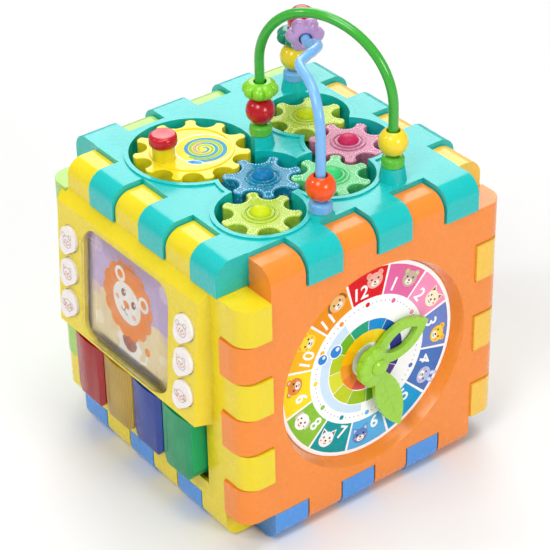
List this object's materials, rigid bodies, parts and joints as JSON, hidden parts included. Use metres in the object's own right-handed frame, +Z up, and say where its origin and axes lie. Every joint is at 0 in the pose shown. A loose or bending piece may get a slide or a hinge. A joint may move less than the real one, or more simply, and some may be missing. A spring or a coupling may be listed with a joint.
{
  "type": "activity cube",
  "caption": "Cube of interlocking panels with meshing gears and a crank, wire bead maze, clock with turning hands, picture panel with keys and icon buttons.",
  "frame": {"origin": "on the table, under the middle of the cube", "axes": "+Z up, -Y out of the picture and key panel, +X out of the clock panel"},
  "size_m": [0.2217, 0.2371, 0.3147],
  "materials": {
    "blue_plastic": "smooth moulded, satin",
    "teal_plastic": "smooth moulded, satin",
    "yellow_plastic": "smooth moulded, satin",
    "orange_plastic": "smooth moulded, satin",
    "amber_plastic": "smooth moulded, satin",
    "green_plastic": "smooth moulded, satin",
    "dark_green_plastic": "smooth moulded, satin",
    "gear_blue_plastic": "smooth moulded, satin",
    "gear_lime_plastic": "smooth moulded, satin",
    "gear_mint_plastic": "smooth moulded, satin",
    "gear_pink_plastic": "smooth moulded, satin",
    "red_plastic": "glossy",
    "wire_green": "glossy plastic-coated steel",
    "wire_blue": "glossy plastic-coated steel",
    "collar_green_plastic": "smooth",
    "bead_green_plastic": "glossy",
    "bead_yellow_plastic": "glossy",
    "bead_orange_plastic": "glossy",
    "bead_purple_plastic": "glossy",
    "bead_teal_plastic": "glossy",
    "clear_plastic": "clear, polished",
    "printed_card": "printed",
    "white_plastic": "satin with printed icons",
    "key_red_plastic": "translucent, glossy",
    "key_yellow_plastic": "translucent, glossy",
    "key_blue_plastic": "translucent, glossy",
    "key_green_plastic": "translucent, glossy",
    "bright_steel": "bright zinc plated",
    "cell_jacket": "plain printed jacket",
    "board_green": "solder mask",
    "black_plastic": "matte",
    "grey_rubber": "matte",
    "printed_dial": "printed in twelve colours",
    "hand_green_plastic": "glossy",
    "collar_blue_plastic": "smooth"
  },
  "bodies": {
    "base": {"base_panel": "blue_plastic"},
    "top": {"top_panel": "teal_plastic", "gear_tray": "dark_green_plastic", "green_wire": "wire_green", "blue_wire": "wire_blue", "green_wire_collars": "collar_green_plastic", "blue_wire_collars": "collar_blue_plastic"},
    "crank": {"crank_gear": "yellow_plastic"},
    "knob": {"crank_knob": "red_plastic"},
    "blue_gear": {"blue_gear": "gear_blue_plastic"},
    "lime_front_gear": {"lime_gear_front": "gear_lime_plastic"},
    "mint_gear": {"mint_gear": "gear_mint_plastic"},
    "pink_gear": {"pink_gear": "gear_pink_plastic"},
    "lime_back_gear": {"lime_gear_back": "gear_lime_plastic"},
    "front": {"front_panel": "yellow_plastic", "window_cover": "clear_plastic", "picture_card": "printed_card", "key_rod": "bright_steel", "rear_cover": "yellow_plastic", "cover_screws": "bright_steel", "battery_door": "yellow_plastic", "door_screw": "bright_steel", "battery_cells": "cell_jacket", "circuit_board": "board_green", "speaker": "black_plastic", "rubber_pads": "grey_rubber"},
    "power_switch": {"power_switch": "black_plastic"},
    "clock": {"clock_panel": "orange_plastic", "clock_dial": "printed_dial", "clock_spindle": "bright_steel", "hand_cap": "hand_green_plastic"},
    "hour_hand": {"hour_hand": "hand_green_plastic"},
    "minute_hand": {"minute_hand": "hand_green_plastic"},
    "back": {"back_panel": "amber_plastic", "roller_axle": "bright_steel"},
    "roller_left": {"roller_left": "red_plastic"},
    "roller_middle": {"roller_middle": "gear_blue_plastic"},
    "roller_right": {"roller_right": "green_plastic"},
    "left": {"left_panel": "green_plastic"},
    "spinner_wheel": {"spinner_wheel": "yellow_plastic"},
    "slider_knob": {"slider_knob": "red_plastic"},
    "red_bead": {"red_bead": "red_plastic"},
    "green_flower_bead": {"green_flower_bead": "bead_green_plastic"},
    "yellow_bead": {"yellow_bead": "bead_yellow_plastic"},
    "orange_bead": {"orange_bead": "bead_orange_plastic"},
    "purple_flower_bead": {"purple_flower_bead": "bead_purple_plastic"},
    "teal_flower_bead": {"teal_flower_bead": "bead_teal_plastic"},
    "red_bead_top": {"red_bead_top": "red_plastic"},
    "yellow_bead_back": {"yellow_bead_back": "bead_yellow_plastic"},
    "button_left_top": {"button_left_top": "white_plastic"},
    "button_left_middle": {"button_left_middle": "white_plastic"},
    "button_left_bottom": {"button_left_bottom": "white_plastic"},
    "button_right_top": {"button_right_top": "white_plastic"},
    "button_right_middle": {"button_right_middle": "white_plastic"},
    "button_right_bottom": {"button_right_bottom": "white_plastic"},
    "key_red": {"key_red": "key_red_plastic"},
    "key_yellow": {"key_yellow": "key_yellow_plastic"},
    "key_blue": {"key_blue": "key_blue_plastic"},
    "key_green": {"key_green": "key_green_plastic"}
  },
  "joints": [
    {"name": "top_lift", "type": "slide", "parent": "base", "child": "top", "axis": [0, 0, 1], "range_m": [0, 0.03]},
    {"name": "front_pull", "type": "slide", "parent": "base", "child": "front", "axis": [0, -1, 0], "range_m": [0, 0.03]},
    {"name": "clock_pull", "type": "slide", "parent": "base", "child": "clock", "axis": [1, 0, 0], "range_m": [0, 0.03]},
    {"name": "back_pull", "type": "slide", "parent": "base", "child": "back", "axis": [0, 1, 0], "range_m": [0, 0.03]},
    {"name": "left_pull", "type": "slide", "parent": "base", "child": "left", "axis": [-1, 0, 0], "range_m": [0, 0.03]},
    {"name": "crank_spin", "type": "hinge", "parent": "top", "child": "crank", "pos_m": [-0.03531, -0.0381, 0.21], "axis": [0, 0, 1], "continuous": true},
    {"name": "knob_spin", "type": "hinge", "parent": "crank", "child": "knob", "pos_m": [-0.03691, -0.05843, 0.222], "axis": [0, 0, 1], "continuous": true},
    {"name": "blue_gear_spin", "type": "hinge", "parent": "top", "child": "blue_gear", "pos_m": [0.017, -0.021, 0.204], "axis": [0, 0, 1], "continuous": true},
    {"name": "lime_front_gear_spin", "type": "hinge", "parent": "top", "child": "lime_front_gear", "pos_m": [0.05017, -0.04805, 0.204], "axis": [0, 0, 1], "continuous": true},
    {"name": "mint_gear_spin", "type": "hinge", "parent": "top", "child": "mint_gear", "pos_m": [0.04258, 0.01332, 0.204], "axis": [0, 0, 1], "continuous": true},
    {"name": "pink_gear_spin", "type": "hinge", "parent": "top", "child": "pink_gear", "pos_m": [0.01682, 0.0475, 0.204], "axis": [0, 0, 1], "continuous": true},
    {"name": "lime_back_gear_spin", "type": "hinge", "parent": "top", "child": "lime_back_gear", "pos_m": [-0.02598, 0.0475, 0.204], "axis": [0, 0, 1], "continuous": true},
    {"name": "red_bead_slide", "type": "slide", "parent": "top", "child": "red_bead", "axis": [0, 0, 1], "range_m": [0, 0.008]},
    {"name": "green_flower_slide", "type": "slide", "parent": "red_bead", "child": "green_flower_bead", "axis": [0, 0, 1], "range_m": [0, 0.009]},
    {"name": "yellow_bead_slide", "type": "slide", "parent": "top", "child": "yellow_bead", "axis": [0, 0, 1], "range_m": [0, 0.012]},
    {"name": "orange_bead_slide", "type": "slide", "parent": "top", "child": "orange_bead", "axis": [0, 0, 1], "range_m": [0, 0.03]},
    {"name": "yellow_back_bead_spin", "type": "hinge", "parent": "top", "child": "yellow_bead_back", "pos_m": [-0.059, 0.063, 0.2346], "axis": [0, 0, 1], "continuous": true},
    {"name": "teal_flower_bead_spin", "type": "hinge", "parent": "top", "child": "teal_flower_bead", "pos_m": [-0.059, 0.063, 0.25], "axis": [0, 0, 1], "continuous": true},
    {"name": "purple_flower_bead_spin", "type": "hinge", "parent": "top", "child": "purple_flower_bead", "pos_m": [0.0025, 0.0245, 0.288], "axis": [-0.8418, 0.5313, 0.0955], "continuous": true},
    {"name": "red_bead_top_spin", "type": "hinge", "parent": "top", "child": "red_bead_top", "pos_m": [-0.01156, 0.03337, 0.28959], "axis": [-0.8418, 0.5313, 0.0955], "continuous": true},
    {"name": "button_left_top_press", "type": "slide", "parent": "front", "child": "button_left_top", "axis": [0, 0.998, -0.0632], "range_m": [0, 0.0015], "stiffness_N_per_m": 500, "springref_m": -0.0006},
    {"name": "button_left_middle_press", "type": "slide", "parent": "front", "child": "button_left_middle", "axis": [0, 0.998, -0.0632], "range_m": [0, 0.0015], "stiffness_N_per_m": 500, "springref_m": -0.0006},
    {"name": "button_left_bottom_press", "type": "slide", "parent": "front", "child": "button_left_bottom", "axis": [0, 0.998, -0.0632], "range_m": [0, 0.0015], "stiffness_N_per_m": 500, "springref_m": -0.0006},
    {"name": "button_right_top_press", "type": "slide", "parent": "front", "child": "button_right_top", "axis": [0, 0.998, -0.0632], "range_m": [0, 0.0015], "stiffness_N_per_m": 500, "springref_m": -0.0006},
    {"name": "button_right_middle_press", "type": "slide", "parent": "front", "child": "button_right_middle", "axis": [0, 0.998, -0.0632], "range_m": [0, 0.0015], "stiffness_N_per_m": 500, "springref_m": -0.0006},
    {"name": "button_right_bottom_press", "type": "slide", "parent": "front", "child": "button_right_bottom", "axis": [0, 0.998, -0.0632], "range_m": [0, 0.0015], "stiffness_N_per_m": 500, "springref_m": -0.0006},
    {"name": "key_red_press", "type": "hinge", "parent": "front", "child": "key_red", "pos_m": [0, -0.096, 0.082], "axis": [1, 0, 0], "range_deg": [0, 4], "stiffness_Nm_per_rad": 0.5, "springref_deg": -1.72},
    {"name": "key_yellow_press", "type": "hinge", "parent": "front", "child": "key_yellow", "pos_m": [0, -0.096, 0.082], "axis": [1, 0, 0], "range_deg": [0, 4], "stiffness_Nm_per_rad": 0.5, "springref_deg": -1.72},
    {"name": "key_blue_press", "type": "hinge", "parent": "front", "child": "key_blue", "pos_m": [0, -0.096, 0.082], "axis": [1, 0, 0], "range_deg": [0, 4], "stiffness_Nm_per_rad": 0.5, "springref_deg": -1.72},
    {"name": "key_green_press", "type": "hinge", "parent": "front", "child": "key_green", "pos_m": [0, -0.096, 0.082], "axis": [1, 0, 0], "range_deg": [0, 4], "stiffness_Nm_per_rad": 0.5, "springref_deg": -1.72},
    {"name": "power_switch_slide", "type": "slide", "parent": "front", "child": "power_switch", "axis": [1, 0, 0], "range_m": [0, 0.006]},
    {"name": "hour_turn", "type": "hinge", "parent": "clock", "child": "hour_hand", "pos_m": [0.097, 0, 0.103], "axis": [1, 0, 0], "continuous": true},
    {"name": "minute_turn", "type": "hinge", "parent": "clock", "child": "minute_hand", "pos_m": [0.102, 0, 0.103], "axis": [1, 0, 0], "continuous": true},
    {"name": "roller_left_spin", "type": "hinge", "parent": "back", "child": "roller_left", "pos_m": [0, 0.0955, 0.117], "axis": [1, 0, 0], "continuous": true},
    {"name": "roller_middle_spin", "type": "hinge", "parent": "back", "child": "roller_middle", "pos_m": [0, 0.0955, 0.117], "axis": [1, 0, 0], "continuous": true},
    {"name": "roller_right_spin", "type": "hinge", "parent": "back", "child": "roller_right", "pos_m": [0, 0.0955, 0.117], "axis": [1, 0, 0], "continuous": true},
    {"name": "spinner_spin", "type": "hinge", "parent": "left", "child": "spinner_wheel", "pos_m": [-0.098, 0, 0.122], "axis": [-1, 0, 0], "continuous": true},
    {"name": "slider_move", "type": "slide", "parent": "left", "child": "slider_knob", "axis": [0, -1, 0], "range_m": [0, 0.09]}
  ],
  "couplings": [
    {"joint": "blue_gear_spin", "follows": "crank_spin", "ratio": -1.5714},
    {"joint": "lime_front_gear_spin", "follows": "crank_spin", "ratio": 1.5714},
    {"joint": "mint_gear_spin", "follows": "crank_spin", "ratio": 1.5714},
    {"joint": "pink_gear_spin", "follows": "crank_spin", "ratio": -1.5714},
    {"joint": "lime_back_gear_spin", "follows": "crank_spin", "ratio": 1.5714}
  ]
}
